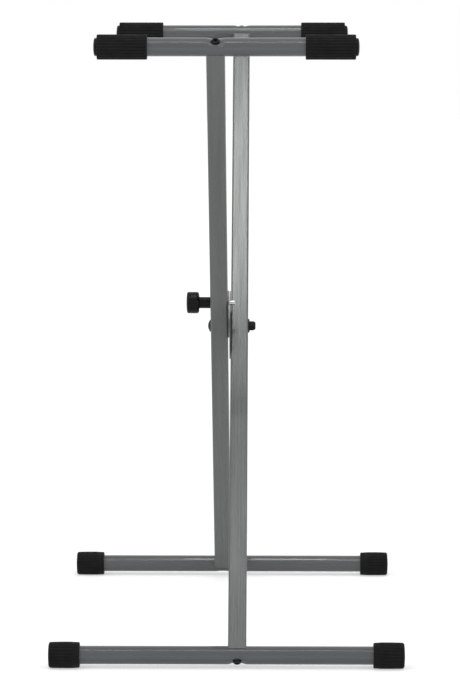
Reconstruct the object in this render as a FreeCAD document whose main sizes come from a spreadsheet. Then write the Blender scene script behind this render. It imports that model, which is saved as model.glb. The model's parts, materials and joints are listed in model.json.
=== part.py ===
import FreeCAD, Part
import math
import os
import re

import Sketcher
from FreeCAD import Placement, Rotation, Vector

# Folding keyboard stand: two crossed legs turn on one bolt, each carries a foot
# and an arm, and a spring pin on one leg drops into a ring of holes in a plate
# on the other. X runs along the arms and feet, -Y is the near side, +Z is up,
# and the origin is on the floor under the pivot. Leg B carries the near arm,
# the far foot and the pin; leg A carries the far arm, the near foot and the plate.

SIZES = [
    ("leg_angle", 50, "angle of each leg from the floor, at the second lock hole"),
    ("leg_length", 1075, "foot tube centre to arm tube centre"),
    ("leg_size", 25, "square leg tube, across the flats"),
    ("leg_wall", 1.5, "wall of the square tube"),
    ("leg_corner", 2.5, "outer corner radius of the square tube"),
    ("leg_gap", 4, "gap between the two legs"),
    ("leg_trim", 4, "leg end to the round tube's centre"),
    ("arm_shoulder", 10, "end of the leg's upper wall to the arm tube's centre"),
    ("tube_diameter", 25, "round tube of arms and feet"),
    ("tube_wall", 1.5, "wall of the round tube"),
    ("foot_length", 485, "foot over its rubber caps"),
    ("arm_length", 355, "arm over its end plugs"),
    ("plug_head", 5, "height of an end plug's domed head"),
    ("plug_rim", 0.4, "plug head stands this far inside the tube's outside"),
    ("plug_side", 2.8, "straight side of the plug head"),
    ("plug_crown", 4.5, "width of the sloping ring round the plug head's flat"),
    ("plug_bevel", 1, "bevel on the plug's shank and round its head"),
    ("plug_shank", 16, "end plug inside the tube"),
    ("plug_play", 0.2, "plug shank radius under the bore's"),
    ("cap_diameter", 36, "foot cap where it is widest"),
    ("cap_taper", 1, "foot cap's loss of diameter at its end"),
    ("cap_swell", 14, "cap's mouth to its widest place"),
    ("cap_lip", 1, "bevel round the cap's mouth"),
    ("cap_length", 43, "foot cap from mouth to end"),
    ("cap_end", 5, "end wall of a foot cap"),
    ("cap_edge", 3.2, "rounding of a foot cap's end, as two bevels"),
    ("cap_flat", 0.8, "depth of the flat that a cap stands on"),
    ("sleeve_diameter", 33.6, "rubber sleeve on an arm"),
    ("sleeve_length", 67, "rubber sleeve along the arm"),
    ("sleeve_edge", 1.4, "bevel at both ends of a sleeve"),
    ("rib_count", 24, "ribs round a cap or sleeve"),
    ("rib_depth", 0.9, "depth of the grooves between ribs"),
    ("rib_groove", 2.4, "width of a groove at its mouth"),
    ("dent_depth", 3.7, "how far a bolt seat is pressed into a round tube"),
    ("dent_crown", 16, "radius of the dent across the tube"),
    ("seat_depth", 0.9, "flat seat below the dent's crown"),
    ("seat_play", 0.8, "flat seat over the bolt head, on diameter"),
    ("dent_flat", 13, "flat length of the bolt seat along the tube"),
    ("dent_length", 35, "whole length of the pressed dent"),
    ("dent_lip", 0.15, "dent's ramps end this far outside the tube"),
    ("bolt_diameter", 6, "bolt that holds a round tube to its leg"),
    ("bolt_play", 0.6, "hole over bolt, on diameter"),
    ("bolt_head", 11, "head diameter of that bolt"),
    ("bolt_head_height", 3.5, "head height of that bolt"),
    ("bolt_bevel", 1.2, "bevel round that bolt's head"),
    ("bolt_point", 0.6, "bevel at that bolt's tip"),
    ("bolt_socket", 4, "hexagon socket across the flats"),
    ("bolt_reach", 30, "bolt tip to tube centre"),
    ("nut_near", 22, "nut plate to tube centre"),
    ("nut_thickness", 6, "nut plate along the leg"),
    ("pivot_diameter", 8, "pivot bolt"),
    ("pivot_play", 0.1, "pivot hole over bolt, on diameter"),
    ("pivot_head", 17.8, "domed head of the pivot bolt"),
    ("pivot_head_height", 4.1, "height of the domed head"),
    ("pivot_head_rim", 0.8, "straight rim under the dome"),
    ("pivot_sleeve", 12, "outside of the crush sleeves in the legs"),
    ("washer_diameter", 20, "washer under the pivot nut"),
    ("washer_thickness", 2, "that washer's thickness"),
    ("pivot_nut", 13, "pivot nut across the flats"),
    ("pivot_nut_hex", 6.3, "height of the nut's hexagon"),
    ("pivot_nut_height", 8.7, "nut with its round collar"),
    ("pivot_nut_bevel", 1.4, "bevel round the collar's end"),
    ("pivot_point", 1, "bevel at the pivot bolt's end, and its depth in the collar"),
    ("plate_thickness", 1.6, "lock plate and guide plate"),
    ("plate_hub", 35, "round end of both plates"),
    ("plate_rim", 4.3, "metal outside the lock holes"),
    ("plate_edge", 9, "sector's edge past the last lock hole, in degrees"),
    ("plate_tail", 6, "sector's edge past leg A's lower half, in degrees"),
    ("plate_corner", 5, "rounding of the sector's two corners"),
    ("pin_distance", 48, "pull pin to pivot"),
    ("pin_diameter", 7, "pull pin"),
    ("pin_play", 0.1, "guide hole over pin, on diameter"),
    ("lock_play", 0.4, "lock hole over pin, on diameter"),
    ("folded_play", 0.8, "leg A's hole over pin, on diameter"),
    ("lock_pitch", 15, "turn from one lock hole to the next, in degrees"),
    ("lock_count", 5, "lock holes"),
    ("fold_travel", 75, "turn from the drawn stand to folded flat, in degrees"),
    ("pin_tip", 7, "pin past the lock plate"),
    ("pin_bevel", 1, "bevel at the pin's tip"),
    ("knob_diameter", 31, "pull knob"),
    ("knob_length", 18.5, "pull knob's head"),
    ("knob_edge", 2.5, "rounding of the knob's head"),
    ("neck_diameter", 16.3, "pull knob's neck"),
    ("neck_length", 16, "neck between head and leg"),
    ("neck_fillet", 1.5, "slope from neck to head"),
    ("neck_bevel", 0.8, "bevel at the neck's end"),
    ("knob_cover", 4.5, "knob's end over the pin's tail"),
    ("clip_diameter", 11, "clip that holds the spring"),
    ("clip_thickness", 1, "that clip's thickness"),
    ("clip_groove", 6, "pin's diameter in the clip's groove"),
    ("clip_place", 7.5, "spring's end face of the clip from the middle plane"),
    ("spring_inside", 8, "inside of the pin's spring"),
    ("spring_wire", 1, "wire of the pin's spring"),
    ("spring_turns", 5, "turns of the pin's spring"),
]

doc = FreeCAD.newDocument("folding_keyboard_stand")
sheet = doc.addObject("Spreadsheet::Sheet", "sizes")
for row, (alias, size, meaning) in enumerate(SIZES, start=1):
    sheet.set("A%d" % row, alias)
    sheet.set("B%d" % row, str(size))
    sheet.set("C%d" % row, meaning)
    sheet.setAlias("B%d" % row, alias)
doc.recompute()

ALIASES = {alias for alias, size, meaning in SIZES}
SUBPARTS = []

# Places that several pieces share, as formulas on the sheet's names.
FOOT_Z = "(cap_diameter / 2 - cap_flat)"
HALF_RISE = "(leg_length / 2 * sin(leg_angle))"
HALF_RUN = "(leg_length / 2 * cos(leg_angle))"
PIVOT_Z = "(%s + %s)" % (FOOT_Z, HALF_RISE)
ARM_Z = "(%s + 2 * %s)" % (FOOT_Z, HALF_RISE)
LEG_X = "(leg_gap / 2 + leg_size / 2)"
OUTER_X = "(leg_gap / 2 + leg_size)"
INNER_X = "(leg_gap / 2)"
PLATE_X = "(leg_gap / 2 - plate_thickness)"
PIN_Y = "(-pin_distance * cos(leg_angle))"
PIN_Z = "(%s + pin_distance * sin(leg_angle))" % PIVOT_Z
ARM_TUBE = "(arm_length - 2 * plug_head)"
FOOT_TUBE = "(foot_length - 2 * cap_end)"
LEG_B_TURN = "90 - leg_angle"
LEG_A_TURN = "leg_angle - 90"
OPENING = "(180 - 2 * leg_angle)"
PLATE_RADIUS = "(pin_distance + pin_diameter / 2 + lock_play / 2 + plate_rim)"
BOLT_SEAT = "(tube_diameter / 2 - dent_depth)"


def linked(text):
    """Write a formula with each of the sheet's names as a reference to it."""
    return re.sub(r"[a-z_]+", lambda word: "sizes." + word[0] if word[0] in ALIASES else word[0], text)


def number(text):
    result = sheet.evalExpression(linked(text))
    return float(getattr(result, "Value", result))


def bind(item, target, text):
    item.setExpression(target, linked(text))


def place(item, x="0", y="0", z="0", turn="0", axis=Vector(1, 0, 0)):
    item.Placement = Placement(Vector(), Rotation(axis, number(turn) or 360))
    bind(item, "Placement.Base.x", x)
    bind(item, "Placement.Base.y", y)
    bind(item, "Placement.Base.z", z)
    if turn != "0":
        bind(item, "Placement.Rotation.Angle", turn)


def new_body(label, subpart=True, **where):
    body = doc.addObject("PartDesign::Body", label)
    body.Label = label
    place(body, **where)
    if subpart:
        SUBPARTS.append(body)
    return body


def new_sketch(body, name, plane, lift="0"):
    sketch = body.newObject("Sketcher::SketchObject", body.Name + "_" + name)
    support = [item for item in body.Origin.OriginFeatures if item.Role == plane]
    sketch.AttachmentSupport = [(support[0], "")]
    sketch.MapMode = "FlatFace"
    if lift != "0":
        bind(sketch, "AttachmentOffset.Base.z", lift)
    return sketch


def constrain(sketch, kind, where, text):
    index = sketch.addConstraint(Sketcher.Constraint(kind, *where, number(text)))
    bind(sketch, "Constraints[%d]" % index, text)


def circle(sketch, diameter, x="0", y="0"):
    centre = Vector(number(x), number(y), 0)
    index = sketch.addGeometry(Part.Circle(centre, Vector(0, 0, 1), number(diameter) / 2))
    constrain(sketch, "DistanceX", (-1, 1, index, 3), x)
    constrain(sketch, "DistanceY", (-1, 1, index, 3), y)
    constrain(sketch, "Diameter", (index,), diameter)


def arc_edge(start, end, radius, turn):
    """Return the arc from start to end that turns left (1) or right (-1)."""
    chord = end - start
    height = math.sqrt(max(radius ** 2 - chord.Length ** 2 / 4, 0))
    left = Vector(-chord.y, chord.x, 0).normalize()
    centre = (start + end) / 2 + left * (height * turn)
    first, last = (start, end) if turn > 0 else (end, start)
    angles = [math.atan2(point.y - centre.y, point.x - centre.x) for point in (first, last)]
    if angles[1] < angles[0]:
        angles[1] += 2 * math.pi
    return Part.ArcOfCircle(Part.Circle(centre, Vector(0, 0, 1), radius), *angles)


def outline(sketch, corners):
    """Draw a closed outline. A corner is (x, y), or (x, y, radius, turn) where an
    arc leaves it; every corner is held at its own formulas."""
    points = [Vector(number(corner[0]), number(corner[1]), 0) for corner in corners]
    ends = []
    for place_in_list, corner in enumerate(corners):
        start = points[place_in_list]
        end = points[(place_in_list + 1) % len(points)]
        if len(corner) == 2:
            index = sketch.addGeometry(Part.LineSegment(start, end))
            ends.append(((index, 1), (index, 2)))
        else:
            index = sketch.addGeometry(arc_edge(start, end, number(corner[2]), corner[3]))
            ends.append(((index, 1), (index, 2)) if corner[3] > 0 else ((index, 2), (index, 1)))
    for place_in_list, corner in enumerate(corners):
        following = ends[(place_in_list + 1) % len(ends)]
        sketch.addConstraint(Sketcher.Constraint("Coincident", *ends[place_in_list][1], *following[0]))
        constrain(sketch, "DistanceX", (-1, 1) + ends[place_in_list][0], corner[0])
        constrain(sketch, "DistanceY", (-1, 1) + ends[place_in_list][0], corner[1])
        if len(corner) == 4:
            constrain(sketch, "Radius", (ends[place_in_list][0][0],), corner[2])


def rounded_square(sketch, size, radius, x="0"):
    side = "(%s) / 2" % size
    flat = "((%s) / 2 - (%s))" % (size, radius)
    signs = [(1, -1), (1, 1), (-1, 1), (-1, -1)]
    corners = []
    for along_x, along_y in signs:
        first_is_x = along_x * along_y > 0
        near = [side, flat] if first_is_x else [flat, side]
        far = [flat, side] if first_is_x else [side, flat]
        corners.append(("%s + %d * %s" % (x, along_x, near[0]), "%d * %s" % (along_y, near[1]), radius, 1))
        corners.append(("%s + %d * %s" % (x, along_x, far[0]), "%d * %s" % (along_y, far[1])))
    outline(sketch, corners)


def polygon(sketch, sides, across, x="0", y="0", first=0):
    corners = []
    for side in range(sides):
        reach = "%s / 2 / cos(%s)" % (across, 180 / sides)
        turn = 360 / sides * side + first
        corners.append(("%s + %s * cos(%s)" % (x, reach, turn), "%s + %s * sin(%s)" % (y, reach, turn)))
    outline(sketch, corners)


def polar(radius, direction):
    """Return the point at a direction from leg A's axis towards the near side."""
    return "-%s * sin(%s)" % (radius, direction), "%s * cos(%s)" % (radius, direction)


def pad(body, sketch, length):
    feature = body.newObject("PartDesign::Pad", sketch.Name + "_pad")
    feature.Profile = sketch
    bind(feature, "Length", length)
    return feature


def pocket(body, sketch, length=None):
    """Cut the sketch through everything both ways, or to a length against its normal."""
    doc.recompute()
    before = body.Shape.Volume
    feature = body.newObject("PartDesign::Pocket", sketch.Name + "_cut")
    feature.Profile = sketch
    if length is None:
        feature.Type = "ThroughAll"
        feature.Midplane = True
    else:
        bind(feature, "Length", length)
    doc.recompute()
    if not body.Shape.Volume < before - 0.01:
        raise RuntimeError(sketch.Name + " cuts nothing")
    return feature


def revolve(body, sketch, axis="H_Axis"):
    feature = body.newObject("PartDesign::Revolution", sketch.Name + "_turned")
    feature.Profile = sketch
    feature.ReferenceAxis = (sketch, [axis])
    feature.Angle = 360
    return feature


def ribs(body, radius, end, length, skipped=0):
    """Cut the grooves between ribs round the X axis, from end back over length,
    leaving some out at the bottom."""
    start = "(-90 + 360 / rib_count * %s)" % ((skipped + 1) / 2)
    half = "(asin(rib_groove / 2 / (%s)) / 1 deg)" % radius
    mouth = "(%s + rib_depth)" % radius
    floor = "(%s - rib_depth)" % radius
    groove = new_sketch(body, "groove", "YZ_Plane", end)
    outline(groove, [
        ("%s * cos(%s)" % (floor, start), "%s * sin(%s)" % (floor, start)),
        ("%s * cos(%s - 2 * %s)" % (mouth, start, half), "%s * sin(%s - 2 * %s)" % (mouth, start, half)),
        ("%s * cos(%s + 2 * %s)" % (mouth, start, half), "%s * sin(%s + 2 * %s)" % (mouth, start, half)),
    ])
    cut = pocket(body, groove, length)
    pattern = body.newObject("PartDesign::PolarPattern", body.Name + "_ribs")
    pattern.Originals = [cut]
    axis = [item for item in body.Origin.OriginFeatures if item.Role == "X_Axis"]
    pattern.Axis = (axis[0], [""])
    if skipped:
        bind(pattern, "Angle", "360 / rib_count * (rib_count - %d)" % (skipped + 1))
    bind(pattern, "Occurrences", "rib_count - %d" % skipped)
    body.Tip = pattern


# Legs: square tube, its ends cut to sit round the foot tube and the arm tube.


def leg(label, x, turn, upper):
    """upper is the side, along the leg's own Y, that faces up."""
    body = new_body(label, x=x, z=PIVOT_Z, turn=turn)
    section = new_sketch(body, "section", "XY_Plane", "leg_trim - leg_length / 2")
    rounded_square(section, "leg_size", "leg_corner")
    rounded_square(section, "leg_size - 2 * leg_wall", "leg_corner - leg_wall")
    pad(body, section, "leg_length - 2 * leg_trim")
    saddles = new_sketch(body, "saddles", "YZ_Plane")
    circle(saddles, "tube_diameter", y="leg_length / 2")
    circle(saddles, "tube_diameter", y="-leg_length / 2")
    pocket(body, saddles)
    shoulder = new_sketch(body, "shoulder", "YZ_Plane")
    corner = "%d * (leg_size / 2 - leg_corner)" % upper
    outline(shoulder, [
        (corner, "leg_length / 2 - arm_shoulder"),
        ("%d * leg_size" % upper, "leg_length / 2 - arm_shoulder"),
        ("%d * leg_size" % upper, "leg_length / 2"),
        (corner, "leg_length / 2"),
    ])
    pocket(body, shoulder)
    return body


leg_b = leg("leg_b_tube", "-" + LEG_X, LEG_B_TURN, 1)
pivot_hole = new_sketch(leg_b, "pivot_hole", "YZ_Plane", "leg_size / 2")
circle(pivot_hole, "pivot_diameter + pivot_play")
pocket(leg_b, pivot_hole, "leg_size / 2")
neck_hole = new_sketch(leg_b, "neck_hole", "YZ_Plane")
rounded_square(neck_hole, "pivot_diameter + pivot_play", "pivot_play")
pocket(leg_b, neck_hole, "leg_size / 2")
pin_holes = new_sketch(leg_b, "pin_holes", "YZ_Plane")
circle(pin_holes, "pin_diameter + pin_play", y="pin_distance")
pocket(leg_b, pin_holes)

# The pin rests in a hole of leg A's inner wall when the stand is folded flat.
leg_a = leg("leg_a_tube", LEG_X, LEG_A_TURN, -1)
pivot_hole = new_sketch(leg_a, "pivot_hole", "YZ_Plane")
circle(pivot_hole, "pivot_diameter + pivot_play")
pocket(leg_a, pivot_hole)
folded_hole = new_sketch(leg_a, "folded_hole", "YZ_Plane")
FOLDED = "(%s - fold_travel)" % OPENING
circle(folded_hole, "pin_diameter + folded_play", *polar("pin_distance", FOLDED))
pocket(leg_a, folded_hole, "leg_size / 2")

# Arms and feet: round tube, pressed in where the bolt head sits. The leg is on
# the tube's -Z side in its own frame, so the dent is on +Z.


def dent(body, inset, x):
    """Press the dent, or the same one a wall further in. Its floor is crowned across
    the tube, so the profile turns about a line dent_crown below the floor."""
    half_rise = "((dent_depth - seat_depth + dent_lip) / 2)"
    floor = "(dent_crown - %s)" % inset
    half_flat = "(dent_flat / 2)"
    half_length = "(dent_length / 2)"
    half_ramp = "((dent_length - dent_flat) / 4)"
    curve = "((%s ^ 2 + %s ^ 2) / (2 * %s))" % (half_ramp, half_rise, half_rise)
    profile = new_sketch(body, "dent", "XZ_Plane")
    bind(profile, "AttachmentOffset.Base.y", "%s + seat_depth - dent_crown" % BOLT_SEAT)
    outline(profile, [
        ("%s - %s" % (x, half_length), "%s + 2 * %s" % (floor, half_rise), curve, -1),
        ("%s - %s + %s" % (x, half_length, half_ramp), "%s + %s" % (floor, half_rise), curve, 1),
        ("%s - %s" % (x, half_flat), floor),
        ("%s + %s" % (x, half_flat), floor, curve, 1),
        ("%s + %s + %s" % (x, half_flat, half_ramp), "%s + %s" % (floor, half_rise), curve, -1),
        ("%s + %s" % (x, half_length), "%s + 2 * %s" % (floor, half_rise)),
        ("%s + %s" % (x, half_length), "%s + 4 * %s" % (floor, half_rise)),
        ("%s - %s" % (x, half_length), "%s + 4 * %s" % (floor, half_rise)),
    ])
    doc.recompute()
    before = body.Shape.Volume
    groove = body.newObject("PartDesign::Groove", body.Name + "_dent_pressed")
    groove.Profile = profile
    groove.ReferenceAxis = (profile, ["H_Axis"])
    groove.Angle = 360
    doc.recompute()
    if not body.Shape.Volume < before - 10:
        raise RuntimeError(body.Name + " has no dent")
    seat = new_sketch(body, "seat", "XY_Plane", "tube_diameter / 2")
    circle(seat, "bolt_head + seat_play - 2 * %s" % inset, x)
    pocket(body, seat, "dent_depth + %s" % inset)


def round_tube(label, length, x, **where):
    outside = new_body(label + "_outside", subpart=False)
    section = new_sketch(outside, "section", "YZ_Plane", "-%s / 2" % length)
    circle(section, "tube_diameter")
    pad(outside, section, length)
    dent(outside, "0", x)
    hole = new_sketch(outside, "hole", "XY_Plane")
    circle(hole, "bolt_diameter + bolt_play", x)
    pocket(outside, hole)
    inside = new_body(label + "_inside", subpart=False)
    bore = new_sketch(inside, "bore", "YZ_Plane", "-%s / 2" % length)
    circle(bore, "tube_diameter - 2 * tube_wall")
    pad(inside, bore, length)
    dent(inside, "tube_wall", x)
    tube = doc.addObject("Part::Cut", label)
    tube.Label = label
    tube.Base = outside
    tube.Tool = inside
    place(tube, **where)
    SUBPARTS.append(tube)


def tube_bolt(label, x, **where):
    body = new_body(label, **where)
    body.setExpression("Placement.Base.x", linked(x))
    top = "(%s + bolt_head_height)" % BOLT_SEAT
    profile = new_sketch(body, "profile", "XZ_Plane")
    outline(profile, [
        ("0", "-bolt_reach"),
        ("bolt_diameter / 2 - bolt_point", "-bolt_reach"),
        ("bolt_diameter / 2", "bolt_point - bolt_reach"),
        ("bolt_diameter / 2", BOLT_SEAT),
        ("bolt_head / 2", BOLT_SEAT),
        ("bolt_head / 2", "%s - bolt_bevel" % top),
        ("bolt_head / 2 - bolt_bevel", top),
        ("0", top),
    ])
    revolve(body, profile, "V_Axis")
    socket = new_sketch(body, "socket", "XY_Plane", top)
    polygon(socket, 6, "bolt_socket")
    pocket(body, socket, "bolt_head_height * 0.6")


def nut_plate(label, x, **where):
    body = new_body(label, **where)
    body.setExpression("Placement.Base.x", linked(x))
    plate = new_sketch(body, "plate", "XY_Plane", "-nut_near - nut_thickness")
    rounded_square(plate, "leg_size - 2 * leg_wall", "leg_corner - leg_wall")
    circle(plate, "bolt_diameter")
    pad(body, plate, "nut_thickness")


NEAR_ARM = dict(y="-" + HALF_RUN, z=ARM_Z, turn=LEG_B_TURN)
FAR_ARM = dict(y=HALF_RUN, z=ARM_Z, turn=LEG_A_TURN)
NEAR_FOOT = dict(y="-" + HALF_RUN, z=FOOT_Z, turn="90 + leg_angle")
FAR_FOOT = dict(y=HALF_RUN, z=FOOT_Z, turn="270 - leg_angle")

round_tube("near_arm_tube", ARM_TUBE, "-" + LEG_X, **NEAR_ARM)
round_tube("far_foot_tube", FOOT_TUBE, "-" + LEG_X, **FAR_FOOT)
round_tube("far_arm_tube", ARM_TUBE, LEG_X, **FAR_ARM)
round_tube("near_foot_tube", FOOT_TUBE, LEG_X, **NEAR_FOOT)
tube_bolt("near_arm_bolt", "-" + LEG_X, **NEAR_ARM)
tube_bolt("far_foot_bolt", "-" + LEG_X, **FAR_FOOT)
tube_bolt("far_arm_bolt", LEG_X, **FAR_ARM)
tube_bolt("near_foot_bolt", LEG_X, **NEAR_FOOT)
nut_plate("leg_b_upper_nut", "-" + LEG_X, **NEAR_ARM)
nut_plate("leg_b_lower_nut", "-" + LEG_X, **FAR_FOOT)
nut_plate("leg_a_upper_nut", LEG_X, **FAR_ARM)
nut_plate("leg_a_lower_nut", LEG_X, **NEAR_FOOT)

# Rubber on the feet and arms, and the plugs in the arms' ends. Each is drawn for
# the +X end; the other end's is the same piece turned half round.

ENDS = (("right", "0"), ("left", "180"))
UPRIGHT = Vector(0, 0, 1)


def foot_cap(label, end_turn, y):
    body = new_body(label, y=y, z=FOOT_Z, turn=end_turn, axis=UPRIGHT)
    end = "(foot_length / 2)"
    radius = "(cap_diameter / 2)"
    narrow = "(cap_diameter / 2 - cap_taper / 2)"
    profile = new_sketch(body, "profile", "XZ_Plane")
    outline(profile, [
        ("%s - cap_length" % end, "tube_diameter / 2"),
        ("%s - cap_end" % end, "tube_diameter / 2"),
        ("%s - cap_end" % end, "0"),
        (end, "0"),
        (end, "%s - cap_edge" % narrow),
        ("%s - cap_edge * (1 - sin(45))" % end, "%s - cap_edge * (1 - sin(45))" % narrow),
        ("%s - cap_edge" % end, narrow),
        ("%s - cap_length + cap_swell" % end, radius),
        ("%s - cap_length + cap_lip" % end, narrow),
        ("%s - cap_length" % end, "%s - cap_lip" % narrow),
    ])
    revolve(body, profile)
    flat = new_sketch(body, "flat", "YZ_Plane")
    outline(flat, [
        ("-" + radius, "cap_flat - %s" % radius),
        ("-" + radius, "-cap_flat - %s" % radius),
        (radius, "-cap_flat - %s" % radius),
        (radius, "cap_flat - %s" % radius),
    ])
    pocket(body, flat)
    ribs(body, "cap_diameter / 2", "%s - cap_edge" % end, "cap_length - cap_edge - cap_lip", skipped=3)


def arm_sleeve(label, end_turn, y):
    body = new_body(label, y=y, z=ARM_Z, turn=end_turn, axis=UPRIGHT)
    end = "(%s / 2)" % ARM_TUBE
    radius = "(sleeve_diameter / 2)"
    profile = new_sketch(body, "profile", "XZ_Plane")
    outline(profile, [
        ("%s - sleeve_length" % end, "tube_diameter / 2"),
        (end, "tube_diameter / 2"),
        (end, "%s - sleeve_edge" % radius),
        ("%s - sleeve_edge" % end, radius),
        ("%s - sleeve_length + sleeve_edge" % end, radius),
        ("%s - sleeve_length" % end, "%s - sleeve_edge" % radius),
    ])
    revolve(body, profile)
    ribs(body, "sleeve_diameter / 2", "%s - sleeve_edge" % end, "sleeve_length - 2 * sleeve_edge")


def arm_plug(label, end_turn, y):
    body = new_body(label, y=y, z=ARM_Z, turn=end_turn, axis=UPRIGHT)
    seat = "(%s / 2)" % ARM_TUBE
    head = "(tube_diameter / 2 - plug_rim)"
    shank = "(tube_diameter / 2 - tube_wall - plug_play)"
    profile = new_sketch(body, "profile", "XZ_Plane")
    outline(profile, [
        ("%s - plug_shank" % seat, "0"),
        ("%s + plug_head" % seat, "0"),
        ("%s + plug_head" % seat, "%s - plug_crown" % head),
        ("%s + plug_side + plug_bevel" % seat, "%s - plug_bevel" % head),
        ("%s + plug_side" % seat, head),
        (seat, head),
        (seat, shank),
        ("%s - plug_shank + plug_bevel" % seat, shank),
        ("%s - plug_shank" % seat, "%s - plug_bevel" % shank),
    ])
    revolve(body, profile)


for hand, end_turn in ENDS:
    foot_cap("near_foot_cap_" + hand, end_turn, "-" + HALF_RUN)
    foot_cap("far_foot_cap_" + hand, end_turn, HALF_RUN)
    arm_sleeve("near_arm_sleeve_" + hand, end_turn, "-" + HALF_RUN)
    arm_sleeve("far_arm_sleeve_" + hand, end_turn, HALF_RUN)
    arm_plug("near_arm_plug_" + hand, end_turn, "-" + HALF_RUN)
    arm_plug("far_arm_plug_" + hand, end_turn, HALF_RUN)

# Pivot: domed bolt with a square neck, crush sleeves, spacer, washer and nut.
# Each piece is turned about X.


def ring(label, start, length, outside, inside, **where):
    body = new_body(label, **where)
    section = new_sketch(body, "section", "YZ_Plane", start)
    circle(section, outside)
    circle(section, inside)
    pad(body, section, length)
    return body


BORE = "pivot_diameter + pivot_play"
pivot_bolt = new_body("pivot_bolt", z=PIVOT_Z, turn=LEG_B_TURN)
profile = new_sketch(pivot_bolt, "profile", "XZ_Plane")
bolt_end = "(%s + washer_thickness + pivot_nut_height - pivot_point)" % OUTER_X
dome = "(pivot_head_height - pivot_head_rim)"
dome_radius = "((pivot_head / 2) ^ 2 + %s ^ 2) / (2 * %s)" % (dome, dome)
outline(profile, [
    ("-%s - pivot_head_height" % OUTER_X, "0", dome_radius, -1),
    ("-%s - pivot_head_rim" % OUTER_X, "pivot_head / 2"),
    ("-" + OUTER_X, "pivot_head / 2"),
    ("-" + OUTER_X, "pivot_diameter / 2"),
    ("%s - pivot_point" % bolt_end, "pivot_diameter / 2"),
    (bolt_end, "pivot_diameter / 2 - pivot_point"),
    (bolt_end, "0"),
])
revolve(pivot_bolt, profile)
neck = new_sketch(pivot_bolt, "neck", "YZ_Plane", "-" + OUTER_X)
rounded_square(neck, "pivot_diameter", "pivot_play")
pad(pivot_bolt, neck, "leg_wall")

HOLLOW = "leg_size - 2 * leg_wall"
ring("pivot_sleeve_b", "leg_wall - %s" % OUTER_X, HOLLOW, "pivot_sleeve", BORE, z=PIVOT_Z)
ring("pivot_sleeve_a", "%s + leg_wall" % INNER_X, HOLLOW, "pivot_sleeve", BORE, z=PIVOT_Z)
ring("pivot_spacer", "-" + PLATE_X, "2 * " + PLATE_X, "washer_diameter", BORE, z=PIVOT_Z)
ring("pivot_washer", OUTER_X, "washer_thickness", "washer_diameter", BORE, z=PIVOT_Z)

pivot_nut = new_body("pivot_nut", x="%s + washer_thickness" % OUTER_X, z=PIVOT_Z)
hexagon = new_sketch(pivot_nut, "hexagon", "YZ_Plane")
polygon(hexagon, 6, "pivot_nut")
circle(hexagon, "pivot_diameter")
pad(pivot_nut, hexagon, "pivot_nut_hex")
collar = new_sketch(pivot_nut, "collar", "XZ_Plane")
outline(collar, [
    ("0", "pivot_diameter / 2"),
    ("pivot_nut_height", "pivot_diameter / 2"),
    ("pivot_nut_height", "pivot_nut / 2 - pivot_nut_bevel"),
    ("pivot_nut_height - pivot_nut_bevel / 2", "pivot_nut / 2 - pivot_nut_bevel / 2"),
    ("(pivot_nut_hex + pivot_nut_height) / 2 - pivot_nut_bevel / 2", "pivot_nut / 2"),
    ("0", "pivot_nut / 2"),
])
revolve(pivot_nut, collar)

# Plates welded to the legs' inner faces. Directions are measured from leg A's
# axis towards the near side, where the pin's leg stands OPENING degrees away.

guide_plate = new_body("guide_plate", z=PIVOT_Z, turn=LEG_B_TURN)
section = new_sketch(guide_plate, "section", "YZ_Plane", "-" + INNER_X)
outline(section, [
    ("plate_hub / 2", "0"),
    ("plate_hub / 2", "pin_distance", "plate_hub / 2", 1),
    ("0", "pin_distance + plate_hub / 2", "plate_hub / 2", 1),
    ("-plate_hub / 2", "pin_distance"),
    ("-plate_hub / 2", "0", "plate_hub / 2", 1),
    ("0", "-plate_hub / 2", "plate_hub / 2", 1),
])
circle(section, BORE)
circle(section, "pin_diameter + pin_play", y="pin_distance")
pad(guide_plate, section, "plate_thickness")

lock_plate = new_body("lock_plate", z=PIVOT_Z, turn=LEG_A_TURN)
hub = new_sketch(lock_plate, "hub", "YZ_Plane", PLATE_X)
circle(hub, "plate_hub")
pad(lock_plate, hub, "plate_thickness")
sector = new_sketch(lock_plate, "sector", "YZ_Plane", PLATE_X)
upper = "(%s - lock_pitch - plate_edge)" % OPENING
lower = "(180 + plate_tail)"
# A rounded corner: its centre lies plate_corner inside both the rim and the side.
inner = "(%s - plate_corner)" % PLATE_RADIUS
lean = "(asin(plate_corner / %s) / 1 deg)" % inner
side = "(sqrt(%s ^ 2 - plate_corner ^ 2))" % inner


middle = "((%s + %s) / 2)" % (upper, lower)
outline(sector, [
    ("0", "0"),
    polar(side, upper) + ("plate_corner", 1),
    polar(PLATE_RADIUS, "%s + %s" % (upper, lean)) + (PLATE_RADIUS, 1),
    polar(PLATE_RADIUS, middle) + (PLATE_RADIUS, 1),
    polar(PLATE_RADIUS, "%s - %s" % (lower, lean)) + ("plate_corner", 1),
    polar(side, lower),
])
pad(lock_plate, sector, "plate_thickness")
holes = new_sketch(lock_plate, "lock_hole", "YZ_Plane")
circle(holes, "pin_diameter + lock_play", *polar("pin_distance", "%s - lock_pitch" % OPENING))
first_hole = pocket(lock_plate, holes)
row = lock_plate.newObject("PartDesign::PolarPattern", "lock_holes")
row.Originals = [first_hole]
axis = [item for item in lock_plate.Origin.OriginFeatures if item.Role == "X_Axis"]
row.Axis = (axis[0], [""])
bind(row, "Angle", "lock_pitch * (lock_count - 1)")
bind(row, "Occurrences", "lock_count")
lock_plate.Tip = row
bore = new_sketch(lock_plate, "bore", "YZ_Plane")
circle(bore, BORE)
pocket(lock_plate, bore)

# Pull pin: a steel pin in a moulded knob, with a clip that its spring pushes on.

PIN = dict(y=PIN_Y, z=PIN_Z)
tail = "(-%s - neck_length - knob_length + knob_cover)" % OUTER_X
head_face = "(-%s - neck_length)" % OUTER_X
head_end = "(-%s - neck_length - knob_length)" % OUTER_X

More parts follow.
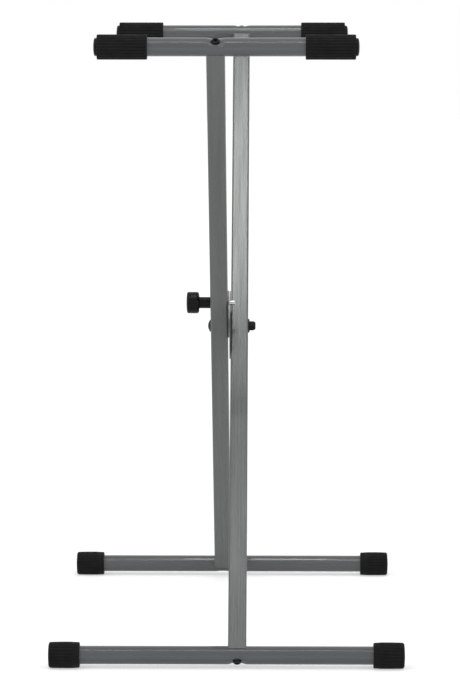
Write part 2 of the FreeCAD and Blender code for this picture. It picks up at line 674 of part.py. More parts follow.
pull_knob = new_body("pull_knob", **PIN)
profile = new_sketch(pull_knob, "profile", "XZ_Plane")
outline(profile, [
    (tail, "0"),
    (tail, "pin_diameter / 2"),
    ("-" + OUTER_X, "pin_diameter / 2"),
    ("-" + OUTER_X, "neck_diameter / 2 - neck_bevel"),
    ("-%s - neck_bevel" % OUTER_X, "neck_diameter / 2"),
    ("%s + neck_fillet" % head_face, "neck_diameter / 2"),
    (head_face, "neck_diameter / 2 + neck_fillet"),
    (head_face, "knob_diameter / 2 - knob_edge"),
    ("%s - knob_edge" % head_face, "knob_diameter / 2"),
    ("%s + knob_edge" % head_end, "knob_diameter / 2", "knob_edge", 1),
    (head_end, "knob_diameter / 2 - knob_edge"),
    (head_end, "0"),
])
revolve(pull_knob, profile)

lock_pin = new_body("lock_pin", **PIN)
profile = new_sketch(lock_pin, "profile", "XZ_Plane")
tip = "(leg_gap / 2 + pin_tip)"
outline(profile, [
    (tail, "0"),
    (tip, "0"),
    (tip, "pin_diameter / 2 - pin_bevel"),
    ("%s - pin_bevel" % tip, "pin_diameter / 2"),
    ("clip_thickness - clip_place", "pin_diameter / 2"),
    ("clip_thickness - clip_place", "clip_groove / 2"),
    ("-clip_place", "clip_groove / 2"),
    ("-clip_place", "pin_diameter / 2"),
    (tail, "pin_diameter / 2"),
])
revolve(lock_pin, profile)

pin_clip = ring("pin_clip", "-clip_place", "clip_thickness", "clip_diameter", "clip_groove", **PIN)
slot = new_sketch(pin_clip, "slot", "YZ_Plane")
outline(slot, [
    ("-clip_groove / 3", "0"),
    ("-clip_groove / 3", "-clip_diameter"),
    ("clip_groove / 3", "-clip_diameter"),
    ("clip_groove / 3", "0"),
])
pocket(pin_clip, slot)


pin_spring = new_body("pin_spring", **PIN)
wire = new_sketch(pin_spring, "wire", "XY_Plane")
coil_radius = "((spring_inside + spring_wire) / 2)"
coil_start = "(leg_wall - %s + spring_wire / 2)" % OUTER_X
coil_end = "(-clip_place - spring_wire / 2)"
polygon(wire, 6, "spring_wire", coil_start, coil_radius, first=30)
coil = pin_spring.newObject("PartDesign::AdditiveHelix", "coil")
coil.Profile = wire
coil.ReferenceAxis = (wire, ["H_Axis"])
coil.Mode = "height-turns-angle"
bind(coil, "Height", "%s - %s" % (coil_end, coil_start))
bind(coil, "Turns", "spring_turns")
gap = number("(%s - %s) / spring_turns - spring_wire" % (coil_end, coil_start))
print("spring: least gap between turns %.2f mm" % gap)

doc.recompute()

for item in doc.Objects:
    if "Invalid" in item.State or "Error" in item.State:
        raise RuntimeError("%s did not recompute: %s" % (item.Name, item.State))
os.makedirs("parts", exist_ok=True)
whole = []
triangles = 0
for item in SUBPARTS:
    shape = item.Shape
    if shape.isNull() or not shape.isValid() or len(shape.Solids) != 1:
        raise RuntimeError(item.Label + " is not one valid solid")
    whole.append(shape)
    count = len(shape.tessellate(0.1)[1])
    triangles += count
    box = shape.BoundBox
    print("%-22s %8.0f mm3 %5d  x %.1f %.1f  y %.1f %.1f  z %.1f %.1f" % (
        item.Label, shape.Volume, count, box.XMin, box.XMax, box.YMin, box.YMax, box.ZMin, box.ZMax))
    shape.exportStep("parts/%s.step" % item.Label)
box = Part.makeCompound(whole).BoundBox
print("%d pieces, %d triangles" % (len(whole), triangles))
print("overall %.1f x %.1f x %.1f mm" % (box.XLength, box.YLength, box.ZLength))
print("lowest point %.3f, pivot height %.2f" % (box.ZMin, number(PIVOT_Z)))
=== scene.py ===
import json
import math

import bmesh
import bpy
from mathutils import Matrix, Vector


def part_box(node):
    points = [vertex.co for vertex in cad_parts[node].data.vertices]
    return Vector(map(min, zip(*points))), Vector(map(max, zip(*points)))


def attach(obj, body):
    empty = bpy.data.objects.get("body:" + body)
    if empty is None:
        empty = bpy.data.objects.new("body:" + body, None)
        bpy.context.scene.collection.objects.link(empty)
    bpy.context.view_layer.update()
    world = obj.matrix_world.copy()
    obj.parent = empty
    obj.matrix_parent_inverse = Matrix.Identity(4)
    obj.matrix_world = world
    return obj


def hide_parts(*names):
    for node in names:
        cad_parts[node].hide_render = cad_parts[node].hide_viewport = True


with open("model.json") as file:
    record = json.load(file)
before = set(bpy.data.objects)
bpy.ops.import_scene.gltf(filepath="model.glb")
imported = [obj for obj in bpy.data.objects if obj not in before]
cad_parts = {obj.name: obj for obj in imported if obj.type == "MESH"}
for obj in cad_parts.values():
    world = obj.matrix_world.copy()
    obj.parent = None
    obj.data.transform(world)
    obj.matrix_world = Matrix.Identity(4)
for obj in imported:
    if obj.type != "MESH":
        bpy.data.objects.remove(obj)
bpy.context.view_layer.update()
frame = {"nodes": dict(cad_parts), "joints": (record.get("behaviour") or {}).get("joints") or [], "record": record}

# Profiles and pieces are given in millimetres, and places in Blender are in metres.
MM = 0.001

nodes = frame["nodes"]
record = frame["record"]
joints = {joint["name"]: joint for joint in frame["joints"]}
pivot = Vector(joints["fold"]["pos_m"])

# The finish and the body of each CAD node.
SLOT_OF = {entry["node"]: entry["material_slot"] for entry in record["subparts"]}
BODY_OF = {node: body for body, held in record["behaviour"]["bodies"].items() for node in held}


def box_centre(node):
    low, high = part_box(node)
    return (low + high) / 2


def way_of_leg(foot, arm):
    """Return a leg's direction from its foot tube to its arm tube, square to X."""
    way = box_centre(arm) - box_centre(foot)
    way.x = 0
    return way.normalized()


LEG_A_WAY = way_of_leg("near_foot_tube", "far_arm_tube")
LEG_B_WAY = way_of_leg("far_foot_tube", "near_arm_tube")


# Materials. Colours are linear. In each one the colour, the roughness and the surface
# vary with noises in the piece's own coordinates, in metres.

LEG_A_PAINT = (0.130, 0.139, 0.132, 1)
# Leg B has the same enamel as leg A, made lighter here as painted light, because leg B faces down and to the front
# and gets less light.
LEG_B_PAINT_WITH_PAINTED_LIGHT = (0.150, 0.160, 0.152, 1)
TUBE_PAINT = (0.092, 0.099, 0.101, 1)
RUBBER = (0.0090, 0.0090, 0.0086, 1)
PLASTIC = (0.0048, 0.0048, 0.0046, 1)
ZINC = (0.60, 0.60, 0.57, 1)
BLACK_OXIDE = (0.008, 0.008, 0.0082, 1)
SPRING_WIRE = (0.42, 0.42, 0.41, 1)

ENAMEL_METALLIC = 0.15
LEG_SPECULAR = 0.3
TUBE_SPECULAR = 0.2
TUBE_COAT = 0.45
COAT_ROUGHNESS = 0.05

# The part of a noise's range that is used, for roughness and for colour.
ROUGHNESS_NOISE = (0.3, 0.7)
COLOR_NOISE = (0.35, 0.65)


def material(name, color, metallic=0.0, specular=0.5, coat=0.0):
    made = bpy.data.materials.new(name)
    made.use_nodes = True
    shader = made.node_tree.nodes["Principled BSDF"]
    shader.inputs["Base Color"].default_value = color
    shader.inputs["Metallic"].default_value = metallic
    shader.inputs["Specular IOR Level"].default_value = specular
    shader.inputs["Coat Weight"].default_value = coat
    shader.inputs["Coat Roughness"].default_value = COAT_ROUGHNESS
    return made


def noise(made, scale, detail=3.0, stretch=(1, 1, 1), lean=0.0):
    """A noise whose grain is stretched along the axes, leaning by an angle about X."""
    tree = made.node_tree
    place = tree.nodes.new("ShaderNodeTexCoord")
    mapping = tree.nodes.new("ShaderNodeMapping")
    mapping.vector_type = "TEXTURE"
    mapping.inputs["Scale"].default_value = stretch
    mapping.inputs["Rotation"].default_value = (lean, 0, 0)
    texture = tree.nodes.new("ShaderNodeTexNoise")
    texture.inputs["Scale"].default_value = scale
    texture.inputs["Detail"].default_value = detail
    tree.links.new(place.outputs["Object"], mapping.inputs["Vector"])
    tree.links.new(mapping.outputs["Vector"], texture.inputs["Vector"])
    return texture.outputs["Fac"]


def vary_roughness(made, factor, low, high):
    """Spread a noise over a range of roughness, whose middle is the socket's own value."""
    tree = made.node_tree
    reach = tree.nodes.new("ShaderNodeMapRange")
    reach.inputs["From Min"].default_value, reach.inputs["From Max"].default_value = ROUGHNESS_NOISE
    reach.inputs["To Min"].default_value = low
    reach.inputs["To Max"].default_value = high
    roughness = tree.nodes["Principled BSDF"].inputs["Roughness"]
    roughness.default_value = (low + high) / 2
    tree.links.new(factor, reach.inputs["Value"])
    tree.links.new(reach.outputs["Result"], roughness)


def vary_color(made, factor, color, shade):
    """Let the base colour drift between shade times the colour and the colour."""
    tree = made.node_tree
    node = tree.nodes.new("ShaderNodeValToRGB")
    darker, full = node.color_ramp.elements
    darker.position, full.position = COLOR_NOISE
    darker.color = tuple(channel * shade for channel in color[:3]) + (1,)
    full.color = color
    tree.links.new(factor, node.inputs["Fac"])
    tree.links.new(node.outputs["Color"], tree.nodes["Principled BSDF"].inputs["Base Color"])


def bump(made, *layers):
    """Lay bumps over each other: each layer is a noise and its height in metres."""
    tree = made.node_tree
    below = None
    for factor, height in layers:
        node = tree.nodes.new("ShaderNodeBump")
        node.inputs["Distance"].default_value = height
        tree.links.new(factor, node.inputs["Height"])
        if below:
            tree.links.new(below.outputs["Normal"], node.inputs["Normal"])
        below = node
    tree.links.new(below.outputs["Normal"], tree.nodes["Principled BSDF"].inputs["Normal"])


def enamel(name, color, grain, specular, lean=0.0, coat=0.0):
    """Satin grey enamel on drawn tube: drawing marks along it, under a fine orange peel."""
    made = material(name, color, ENAMEL_METALLIC, specular, coat)
    streaks = noise(made, scale=420, detail=2, stretch=grain, lean=lean)
    clouds = noise(made, scale=160, detail=4, stretch=grain, lean=lean)
    gloss = noise(made, scale=260, detail=3, stretch=grain, lean=lean)
    vary_color(made, clouds, color, shade=0.89)
    vary_roughness(made, gloss, low=0.22, high=0.32)
    bump(made, (streaks, 0.03 * MM), (noise(made, scale=700, detail=2), 0.012 * MM))
    return made


GRAIN_LENGTH = 30


def leg_paint(name, color, way):
    """Enamel whose marks run along a leg."""
    return enamel(name, color, (1, 1, GRAIN_LENGTH), LEG_SPECULAR, -math.atan2(way.y, way.z))


leg_a_paint = leg_paint("frame_paint_leg_a", LEG_A_PAINT, LEG_A_WAY)
# Leg B's material carries painted light: its colour is leg A's enamel, lightened.
leg_b_paint_with_painted_light = leg_paint("frame_paint_leg_b_painted_light", LEG_B_PAINT_WITH_PAINTED_LIGHT, LEG_B_WAY)
tube_paint = enamel("frame_paint", TUBE_PAINT, (GRAIN_LENGTH, 1, 1), TUBE_SPECULAR, coat=TUBE_COAT)

# Moulded rubber: matt, with a dusty bloom and a fine grain.
rubber = material("rubber", RUBBER, specular=0.1)
vary_color(rubber, noise(rubber, scale=70, detail=5), RUBBER, shade=0.7)
vary_roughness(rubber, noise(rubber, scale=150, detail=4), low=0.5, high=0.72)
rubber_grain = noise(rubber, scale=1400, detail=3)
rubber_waves = noise(rubber, scale=260, detail=2)
bump(rubber, (rubber_grain, 0.06 * MM), (rubber_waves, 0.08 * MM))

# Moulded plastic of knob and plugs: smoother than the rubber, with faint flow marks.
plastic = material("knob_plastic", PLASTIC, specular=0.12)
vary_color(plastic, noise(plastic, scale=80, detail=3), PLASTIC, shade=0.8)
vary_roughness(plastic, noise(plastic, scale=200, detail=3), low=0.2, high=0.34)
plastic_grain = noise(plastic, scale=1800, detail=2)
flow_marks = noise(plastic, scale=120, detail=2)
bump(plastic, (plastic_grain, 0.02 * MM), (flow_marks, 0.06 * MM))

# Zinc plate: bright, with a cloudy patina and faint rolling marks.
ROLLED = (1, 6, 6)
zinc = material("bright_steel", ZINC, metallic=1.0)
vary_color(zinc, noise(zinc, scale=160, detail=5), ZINC, shade=0.7)
vary_roughness(zinc, noise(zinc, scale=300, detail=4, stretch=ROLLED), low=0.18, high=0.36)
bump(zinc, (noise(zinc, scale=1500, detail=2, stretch=ROLLED), 0.02 * MM))

# Black oxide on steel: dark and slightly cloudy.
oxide = material("black_steel", BLACK_OXIDE, metallic=0.4, specular=0.2)
vary_color(oxide, noise(oxide, scale=240, detail=4), BLACK_OXIDE, shade=0.65)
vary_roughness(oxide, noise(oxide, scale=500, detail=3), low=0.26, high=0.44)
bump(oxide, (noise(oxide, scale=2600, detail=2), 0.02 * MM))

# Bare spring wire.
wire = material("spring_steel", SPRING_WIRE, metallic=1.0)
vary_color(wire, noise(wire, scale=300, detail=3), SPRING_WIRE, shade=0.75)
vary_roughness(wire, noise(wire, scale=900, detail=2), low=0.22, high=0.4)
bump(wire, (noise(wire, scale=2600, detail=2), 0.01 * MM))

BY_SLOT = {
    "frame_paint": tube_paint,
    "rubber": rubber,
    "knob_plastic": plastic,
    "bright_steel": zinc,
    "black_steel": oxide,
    "spring_steel": wire,
}
OF_ITS_OWN = {"leg_a_tube": leg_a_paint, "leg_b_tube": leg_b_paint_with_painted_light}
for node, slot in SLOT_OF.items():
    mesh = nodes[node].data
    mesh.materials.clear()
    mesh.materials.append(OF_ITS_OWN.get(node, BY_SLOT[slot]))


# Turned pieces. A profile is a list of corners (along, radius, fillet), which is turned
# about a line along X.

ARC_STEPS = 5
DOME_STEPS = 4
SHARP = math.radians(38)


def rounded(corners):
    """Return the points of a profile, with each corner's fillet as an arc."""
    points = []
    for index, (along, radius, fillet) in enumerate(corners):
        here = Vector((along, radius))
        if not fillet:
            points.append(here)
            continue
        back = (Vector(corners[index - 1][:2]) - here).normalized()
        onward = (Vector(corners[(index + 1) % len(corners)][:2]) - here).normalized()
        half = back.angle(onward) / 2
        centre = here + (back + onward).normalized() * fillet / math.sin(half)
        start = here + back * fillet / math.tan(half) - centre
        finish = here + onward * fillet / math.tan(half) - centre
        turn = -start.angle_signed(finish)
        for step in range(ARC_STEPS + 1):
            points.append(centre + Matrix.Rotation(turn * step / ARC_STEPS, 2) @ start)
    return points


def skin(name, rings, looped=False):
    """Join rings of points into one mesh. A ring of one point is a pole."""
    mesh = bmesh.new()
    made = [[mesh.verts.new(point) for point in ring] for ring in rings]
    pairs = list(zip(made, made[1:]))
    if looped:
        pairs.append((made[-1], made[0]))
    for low, high in pairs:
        for index in range(max(len(low), len(high))):
            corners = [
                low[index % len(low)],
                low[(index + 1) % len(low)],
                high[(index + 1) % len(high)],
                high[index % len(high)],
            ]
            mesh.faces.new(list(dict.fromkeys(corners)))
    bmesh.ops.recalc_face_normals(mesh, faces=mesh.faces)
    data = bpy.data.meshes.new(name)
    mesh.to_mesh(data)
    mesh.free()
    data.shade_smooth()
    data.set_sharp_from_angle(angle=SHARP)
    return data


def stand_for(node, mesh):
    """Show a mesh in place of a CAD node, on its body and in its finish."""
    piece = bpy.data.objects.new(mesh.name, mesh)
    bpy.context.scene.collection.objects.link(piece)
    mesh.materials.append(BY_SLOT[SLOT_OF[node]])
    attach(piece, BODY_OF[node])
    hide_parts(node)


def turned(name, corners, start, side, sides, limit=None, lowest=None, looped=False):
    """Turn a profile that runs from start towards side, which is 1 or -1, along X.
    limit may narrow a radius for the turn that it is at, which is 0 at the top, and
    lowest is the least Z that the piece may reach. A radius of 0 is a pole."""
    rings = []
    for along, radius in rounded(corners):
        x = start.x + side * along * MM
        if not radius:
            rings.append([Vector((x, start.y, start.z))])
            continue
        ring = []
        for step in range(sides):
            turn = math.tau * step / sides
            reach = radius if limit is None else limit(along, radius, turn)
            height = start.z + reach * MM * math.cos(turn)
            if lowest is not None:
                height = max(height, lowest)
            ring.append(Vector((x, start.y + reach * MM * math.sin(turn), height)))
        rings.append(ring)
    return skin(name, rings, looped)


def ramp(value, low, high):
    """Rise smoothly from 0 at low to 1 at high."""
    share = min(max((value - low) / (high - low), 0), 1)
    return share * share * (3 - 2 * share)


def dome(top, height, radius):
    """Return the corners of a shallow dome, from its pole down to its rim."""
    shares = [step / DOME_STEPS for step in range(DOME_STEPS + 1)]
    return [(top - height * share ** 2, radius * share, 0) for share in shares]


# Rubber foot caps and arm sleeves. Their ribs run along X, all round.

RIBS = 24
RIB_DEPTH = 0.9
GROOVE_HALF = 1.35
RIBBED_SIDES = RIBS * 12
TUBE_RADIUS = 12.5
RUBBER_BORE = 12.55
BORE_LIMIT = 14.5  # what is nearer to the centre line than this is bore and has no ribs

CAP_LENGTH = 43
CAP_RADIUS = 18.0
CAP_DOME = 0.8
CAP_END_RADIUS = 17.5
CAP_END_WALL = 5
CAP_EDGE = 3.2
CAP_EDGE_ROUNDING = 3.008
CAP_SIDE = [(35, 17.75, 0), (26, 17.97, 0), (14, CAP_RADIUS, 0), (11, 17.95, 0), (9, 17.85, 0)]
CAP_MOUTH_RADIUS = 17.3
CAP_MOUTH_ROUNDING = 1.3
CAP_BORE_ROUNDING = 0.6
CAP_RIBS_BEGIN = (9, 11)
CAP_RIBS_END = (39, 41.4)
CAP_PLAIN_BELOW = math.radians(22)
CAP_PLAIN_BLEND = 0.05

SLEEVE_LENGTH = 67
SLEEVE_RADIUS = 16.8
SLEEVE_EDGE_ROUNDING = 1.4
SLEEVE_BORE_ROUNDING = 0.5


def groove(turn, radius):
    """Return how deep the ribs' grooves are at a turn, from 0 to 1."""
    pitch = math.tau / RIBS
    away = abs((turn / pitch + 0.5) % 1 - 0.5) * pitch * radius
    return 0.5 + 0.5 * math.cos(math.pi * min(away / GROOVE_HALF, 1))


def ends_outward(node):
    """Return the side of the object, 1 or -1, that a piece is on, and the X of its ends,
    the inner one first."""
    low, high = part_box(node)
    if low.x + high.x > 0:
        return 1, low.x, high.x
    return -1, high.x, low.x


def foot_cap(node):
    side, mouth, _ = ends_outward(node)
    low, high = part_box(node)
    start = Vector((mouth, box_centre(node).y, high.z - CAP_RADIUS * MM))
    corners = [
        *dome(CAP_LENGTH, CAP_DOME, CAP_END_RADIUS - CAP_EDGE),
        (CAP_LENGTH - CAP_DOME, CAP_END_RADIUS, CAP_EDGE_ROUNDING),
        *CAP_SIDE,
        (0, CAP_MOUTH_RADIUS, CAP_MOUTH_ROUNDING),
        (0, RUBBER_BORE, CAP_BORE_ROUNDING),
        (CAP_LENGTH - CAP_END_WALL, RUBBER_BORE, 0),
        (CAP_LENGTH - CAP_END_WALL, 0, 0),
    ]

    def ribbed(along, radius, turn):
        if radius < BORE_LIMIT:
            return radius
        share = ramp(along, *CAP_RIBS_BEGIN) * (1 - ramp(along, *CAP_RIBS_END))
        share *= ramp(abs(turn - math.pi), CAP_PLAIN_BELOW, CAP_PLAIN_BELOW + CAP_PLAIN_BLEND)
        return radius - RIB_DEPTH * share * groove(turn, CAP_RADIUS)

    stand_for(node, turned(node + "_rubber", corners, start, side, RIBBED_SIDES, ribbed, low.z))


def arm_sleeve(node):
    side, inner, _ = ends_outward(node)
    centre = box_centre(node)
    start = Vector((inner, centre.y, centre.z))
    corners = [
        (0, SLEEVE_RADIUS, SLEEVE_EDGE_ROUNDING),
        (SLEEVE_LENGTH, SLEEVE_RADIUS, SLEEVE_EDGE_ROUNDING),
        (SLEEVE_LENGTH, RUBBER_BORE, SLEEVE_BORE_ROUNDING),
        (0, RUBBER_BORE, SLEEVE_BORE_ROUNDING),
    ]

    def ribbed(along, radius, turn):
        if radius < BORE_LIMIT:
            return radius
        return min(radius, SLEEVE_RADIUS - RIB_DEPTH * groove(turn, SLEEVE_RADIUS))

    mesh = turned(node + "_rubber", corners, start, side, RIBBED_SIDES, ribbed, looped=True)
    stand_for(node, mesh)


# End plugs of the arms: a domed head against the tube's end, a shank inside.

PLUG_SIDES = 96
PLUG_HEAD = 5
PLUG_RADIUS = 12.1
PLUG_DOME = 1.1
PLUG_DOME_RADIUS = 9.9
PLUG_EDGE = 3.5
PLUG_EDGE_ROUNDING = 2.1
PLUG_SEAT_ROUNDING = 0.3
PLUG_SHANK = 16
PLUG_SHANK_RADIUS = 10.8
PLUG_SHANK_ROUNDING = 1


def arm_plug(node):
    side, _, outer = ends_outward(node)
    centre = box_centre(node)
    start = Vector((outer - side * PLUG_HEAD * MM, centre.y, centre.z))
    corners = [
        *dome(PLUG_HEAD, PLUG_DOME, PLUG_DOME_RADIUS),
        (PLUG_EDGE, PLUG_RADIUS, PLUG_EDGE_ROUNDING),
        (0, PLUG_RADIUS, PLUG_SEAT_ROUNDING),
        (0, PLUG_SHANK_RADIUS, 0),
        (-PLUG_SHANK, PLUG_SHANK_RADIUS, PLUG_SHANK_ROUNDING),
        (-PLUG_SHANK, 0, 0),
    ]
    stand_for(node, turned(node + "_moulding", corners, start, side, PLUG_SIDES))


for end in ("left", "right"):
    for tube in ("near", "far"):
        foot_cap("%s_foot_cap_%s" % (tube, end))
        arm_sleeve("%s_arm_sleeve_%s" % (tube, end))
        arm_plug("%s_arm_plug_%s" % (tube, end))


# Pull knob: a head with rounded edges on a round neck that the pin goes up.

KNOB_SIDES = 128
KNOB_LENGTH = 34.5
KNOB_RADIUS = 15.5
KNOB_DOME = 0.8
KNOB_DOME_RADIUS = 12.5
KNOB_EDGE = 33.6
KNOB_EDGE_ROUNDING = 2.8
KNOB_BACK_ROUNDING = 3.6
KNOB_NECK = 16
KNOB_NECK_RADIUS = 8.15
KNOB_NECK_FILLET = 1.2
KNOB_NECK_ROUNDING = 0.9
KNOB_PIN_RADIUS = 3.5
KNOB_PIN_REACH = 30


def pull_knob(node):
    side, neck_end, _ = ends_outward(node)
    centre = box_centre(node)
    start = Vector((neck_end, centre.y, centre.z))
    corners = [
        *dome(KNOB_LENGTH, KNOB_DOME, KNOB_DOME_RADIUS),
        (KNOB_EDGE, KNOB_RADIUS, KNOB_EDGE_ROUNDING),
        (KNOB_NECK, KNOB_RADIUS, KNOB_BACK_ROUNDING),
        (KNOB_NECK, KNOB_NECK_RADIUS, KNOB_NECK_FILLET),
        (0, KNOB_NECK_RADIUS, KNOB_NECK_ROUNDING),
        (0, KNOB_PIN_RADIUS, 0),
        (KNOB_PIN_REACH, KNOB_PIN_RADIUS, 0),
        (KNOB_PIN_REACH, 0, 0),
    ]
    stand_for(node, turned("pull_knob_moulding", corners, start, side, KNOB_SIDES))


pull_knob("pull_knob")


# Pivot nut: a chamfered hexagon with a rounded locking collar.

NUT_SIDES = 96
NUT_FLATS_HALF = 6.5
NUT_HEX = 6.3
NUT_CORNER = 7.4
NUT_SEAT_ROUNDING = 0.5
NUT_HEX_ROUNDING = 1.2
NUT_LENGTH = 8.7
NUT_COLLAR = 5.9
NUT_COLLAR_ROUNDING = 1.7
NUT_BORE = 4.05
NUT_BORE_ROUNDING = 0.3


def pivot_nut(node):
    side, seat, _ = ends_outward(node)
    centre = box_centre(node)
    start = Vector((seat, centre.y, centre.z))
    corners = [
        (0, NUT_CORNER, NUT_SEAT_ROUNDING),
        (NUT_HEX, NUT_CORNER, NUT_HEX_ROUNDING),
        (NUT_HEX, NUT_COLLAR, 0),
        (NUT_LENGTH, NUT_COLLAR, NUT_COLLAR_ROUNDING),
        (NUT_LENGTH, NUT_BORE, NUT_BORE_ROUNDING),
        (0, NUT_BORE, NUT_BORE_ROUNDING),
    ]

    def flats(along, radius, turn):
        across = (turn + math.pi / 6) % (math.pi / 3) - math.pi / 6
        return min(radius, NUT_FLATS_HALF / math.cos(across))

    mesh = turned("pivot_nut_hexagon", corners, start, side, NUT_SIDES, flats, looped=True)
    stand_for(node, mesh)


pivot_nut("pivot_nut")


# Round tubes: each is pressed in where its bolt's head sits. The press leaves a broad
# crown across the tube, which runs out smoothly along it, and a round flat seat.

TUBE_WALL = 1.5
DENT_FLOOR = 9.7  # from the tube's centre line to the crown
DENT_CROWN = 16  # the crown's own radius
DENT_FLAT_HALF = 4
DENT_HALF = 17
DENT_BLEND = 1.1
SEAT = 8.8  # from the tube's centre line to the flat seat
SEAT_RADIUS = 5.9
SEAT_EDGE = 1.0
TUBE_SIDES = 72
TUBE_END_RINGS = [0, 0.4, 20]  # distances of rings from each end
DENT_STEP = 0.75


def pressed(away, turn):
    """Return the tube's radius at a distance along it from the bolt and a turn about it
    from the bolt's line. The crown is blended into the tube by a smooth minimum."""
    if math.cos(turn) <= 0 or abs(away) >= DENT_HALF:
        return TUBE_RADIUS
    lift = (TUBE_RADIUS + DENT_BLEND - DENT_FLOOR) * ramp(abs(away), DENT_FLAT_HALF, DENT_HALF)
    centre = DENT_FLOOR + lift - DENT_CROWN
    floor = centre * math.cos(turn) + math.sqrt(DENT_CROWN ** 2 - (centre * math.sin(turn)) ** 2)
    mix = min(max(0.5 + 0.5 * (floor - TUBE_RADIUS) / DENT_BLEND, 0), 1)
    radius = floor + (TUBE_RADIUS - floor) * mix - DENT_BLEND * mix * (1 - mix)
    sideways = math.hypot(away, radius * math.sin(turn))
    seat = min(radius, SEAT / math.cos(turn))
    return seat + (radius - seat) * ramp(sideways, SEAT_RADIUS, SEAT_RADIUS + SEAT_EDGE)


def round_tube(node, bolt_node, way):
    """Show a round tube. way is the bolt's line, towards its head."""
    low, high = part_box(node)
    centre = box_centre(node)
    bolt = box_centre(bolt_node).x
    across = Vector((0, -way.z, way.y))
    steps = round(DENT_HALF / DENT_STEP) + 1
    stations = [low.x + ring * MM for ring in TUBE_END_RINGS]
    stations += [bolt + step * DENT_STEP * MM for step in range(-steps, steps + 1)]
    stations += [high.x - ring * MM for ring in reversed(TUBE_END_RINGS)]
    rings = []
    for wall, along in ((0, stations), (TUBE_WALL, reversed(stations))):
        for x in along:
            ring = []
            for step in range(TUBE_SIDES):
                turn = math.tau * step / TUBE_SIDES
                nearest = turn if turn < math.pi else turn - math.tau
                reach = (pressed((x - bolt) / MM, nearest) - wall) * MM
                side = way * math.cos(turn) + across * math.sin(turn)
                ring.append(Vector((x, centre.y, centre.z)) + side * reach)
            rings.append(ring)
    stand_for(node, skin(node + "_pressed", rings, looped=True))


round_tube("near_arm_tube", "near_arm_bolt", LEG_B_WAY)
round_tube("far_arm_tube", "far_arm_bolt", LEG_A_WAY)
round_tube("near_foot_tube", "near_foot_bolt", -LEG_A_WAY)
round_tube("far_foot_tube", "far_foot_bolt", -LEG_B_WAY)


# Camera: at the photograph's distance and height, pitched down, no shift. The picture
# is taller than wide, so the sensor's size is that of the picture's height.

CAMERA_FROM_PIVOT = Vector((0.0588, -4.8928, 0.5484))
CAMERA_YAW = math.radians(-0.680)
CAMERA_PITCH = math.radians(6.719)
FOCAL_PIXELS = 3406.9
IMAGE_HEIGHT = 690
SENSOR = 36.0
CLIP_END = 50

camera_data = bpy.data.cameras.new("camera")
camera_data.sensor_width = SENSOR
camera_data.lens = FOCAL_PIXELS / IMAGE_HEIGHT * SENSOR
camera_data.clip_end = CLIP_END
camera = bpy.data.objects.new("camera", camera_data)
bpy.context.scene.collection.objects.link(camera)
camera.location = pivot + CAMERA_FROM_PIVOT
ahead = Vector((
    math.sin(CAMERA_YAW) * math.cos(CAMERA_PITCH),
    math.cos(CAMERA_YAW) * math.cos(CAMERA_PITCH),
    -math.sin(CAMERA_PITCH),
))
camera.rotation_euler = ahead.to_track_quat("-Z", "Y").to_euler()
bpy.context.scene.camera = camera


# Light: two broad soft boxes in front, a narrow strip above and in front, which draws
# the thin bright line along each tube, and a panel overhead that leg A's upper half
# reflects.

MIDDLE = (0, 0, 0.5)
PANEL_BEAM = math.radians(30)


def area_light(name, place, aim, size, power, beam=math.pi):
    data = bpy.data.lights.new(name, "AREA")
    data.shape = "RECTANGLE"
    data.size, data.size_y = size
    data.energy = power
    data.spread = beam
    lamp = bpy.data.objects.new(name, data)
    bpy.context.scene.collection.objects.link(lamp)
    lamp.location = place
    lamp.rotation_euler = (Vector(aim) - Vector(place)).to_track_quat("-Z", "Y").to_euler()


area_light(
    "strip_in_front",
    place=(0, -0.95, 2.1),
    aim=(0, -0.949, 0),
    size=(2.6, 0.04),
    power=8,
)
area_light(
    "panel_overhead",
    place=(0.03, -0.188, 1.885),
    aim=(0.03, 0.17, 0.635),
    size=(0.3, 0.45),
    power=0.16,
    beam=PANEL_BEAM,
)
area_light("key_left", place=(-2.4, -2.6, 1.9), aim=MIDDLE, size=(1.8, 1.8), power=27)
area_light("fill_right", place=(2.6, -2.2, 1.5), aim=MIDDLE, size=(1.8, 1.8), power=20)


def seen_directly(tree):
    """1 for what the camera sees straight, in a gloss or through glass, otherwise 0."""
    rays = tree.nodes.new("ShaderNodeLightPath")
    seen = rays.outputs["Is Camera Ray"]
    for other in ("Is Glossy Ray", "Is Transmission Ray"):
        either = tree.nodes.new("ShaderNodeMath")
        either.operation = "MAXIMUM"
        tree.links.new(seen, either.inputs[0])
        tree.links.new(rays.outputs[other], either.inputs[1])
        seen = either.outputs["Value"]
    return seen


WORLD_LIGHT = 0.55
WORLD_SEEN = 1.0
WHITE = (1, 1, 1, 1)


def light_world():
    """A dim white world for light, and a plain white one where it is seen."""
    world = bpy.data.worlds.new("studio")
    bpy.context.scene.world = world
    world.use_nodes = True
    tree = world.node_tree
    tree.nodes.clear()
    mix = tree.nodes.new("ShaderNodeMixShader")
    tree.links.new(seen_directly(tree), mix.inputs["Fac"])
    for socket, strength in ((1, WORLD_LIGHT), (2, WORLD_SEEN)):
        sky = tree.nodes.new("ShaderNodeBackground")
        sky.inputs["Color"].default_value = WHITE
        sky.inputs["Strength"].default_value = strength
        tree.links.new(sky.outputs["Background"], mix.inputs[socket])
    out = tree.nodes.new("ShaderNodeOutputWorld")
    tree.links.new(mix.outputs["Shader"], out.inputs["Surface"])


light_world()
bpy.context.scene.view_settings.view_transform = "Standard"


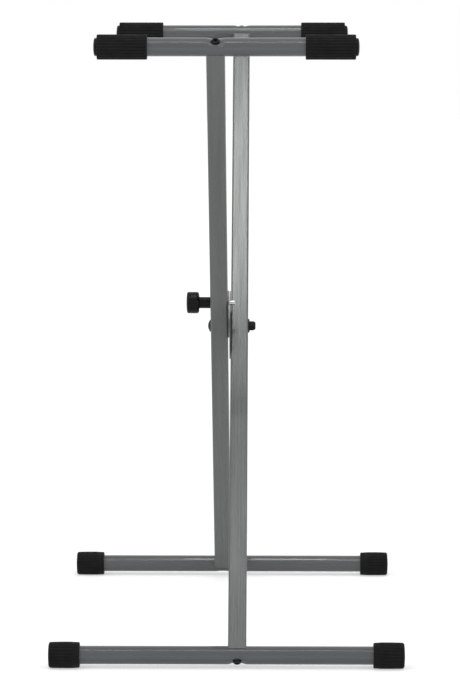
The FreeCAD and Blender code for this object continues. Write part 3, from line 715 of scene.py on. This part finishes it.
# Pale floor: it keeps the stand's shadow, and further out it turns to plain white.

FLOOR_HALF = 14
FLOOR_CELLS = 8
FLOOR_DROP = 0.5
FLOOR_COLOR = (0.86, 0.86, 0.86, 1)
FLOOR_ROUGHNESS = 0.9
FLOOR_SPECULAR = 0.1
FLOOR_LIFT_FROM = (0.8, 0.42)  # distance from the middle, and the lift's strength there
FLOOR_LIFT_TO = (3.0, 0.62)


def floor_paint():
    """Pale paint, lifted towards white by a faint glow that only the camera and glosses see."""
    pale = bpy.data.materials.new("pale_floor")
    pale.use_nodes = True
    tree = pale.node_tree
    shader = tree.nodes["Principled BSDF"]
    shader.inputs["Base Color"].default_value = FLOOR_COLOR
    shader.inputs["Roughness"].default_value = FLOOR_ROUGHNESS
    shader.inputs["Specular IOR Level"].default_value = FLOOR_SPECULAR
    shader.inputs["Emission Color"].default_value = WHITE
    place = tree.nodes.new("ShaderNodeTexCoord")
    length = tree.nodes.new("ShaderNodeVectorMath")
    length.operation = "LENGTH"
    tree.links.new(place.outputs["Object"], length.inputs[0])
    rise = tree.nodes.new("ShaderNodeMapRange")
    rise.inputs["From Min"].default_value, rise.inputs["To Min"].default_value = FLOOR_LIFT_FROM
    rise.inputs["From Max"].default_value, rise.inputs["To Max"].default_value = FLOOR_LIFT_TO
    tree.links.new(length.outputs["Value"], rise.inputs["Value"])
    lift = tree.nodes.new("ShaderNodeMath")
    lift.operation = "MULTIPLY"
    tree.links.new(seen_directly(tree), lift.inputs[0])
    tree.links.new(rise.outputs["Result"], lift.inputs[1])
    tree.links.new(lift.outputs["Value"], shader.inputs["Emission Strength"])
    return pale


floor_mesh = bpy.data.meshes.new("floor")
grid = bmesh.new()
bmesh.ops.create_grid(grid, x_segments=FLOOR_CELLS, y_segments=FLOOR_CELLS, size=FLOOR_HALF)
grid.to_mesh(floor_mesh)
grid.free()
floor = bpy.data.objects.new("floor", floor_mesh)
bpy.context.scene.collection.objects.link(floor)
floor.location = (0, 0, -FLOOR_DROP * MM)
floor_mesh.materials.append(floor_paint())
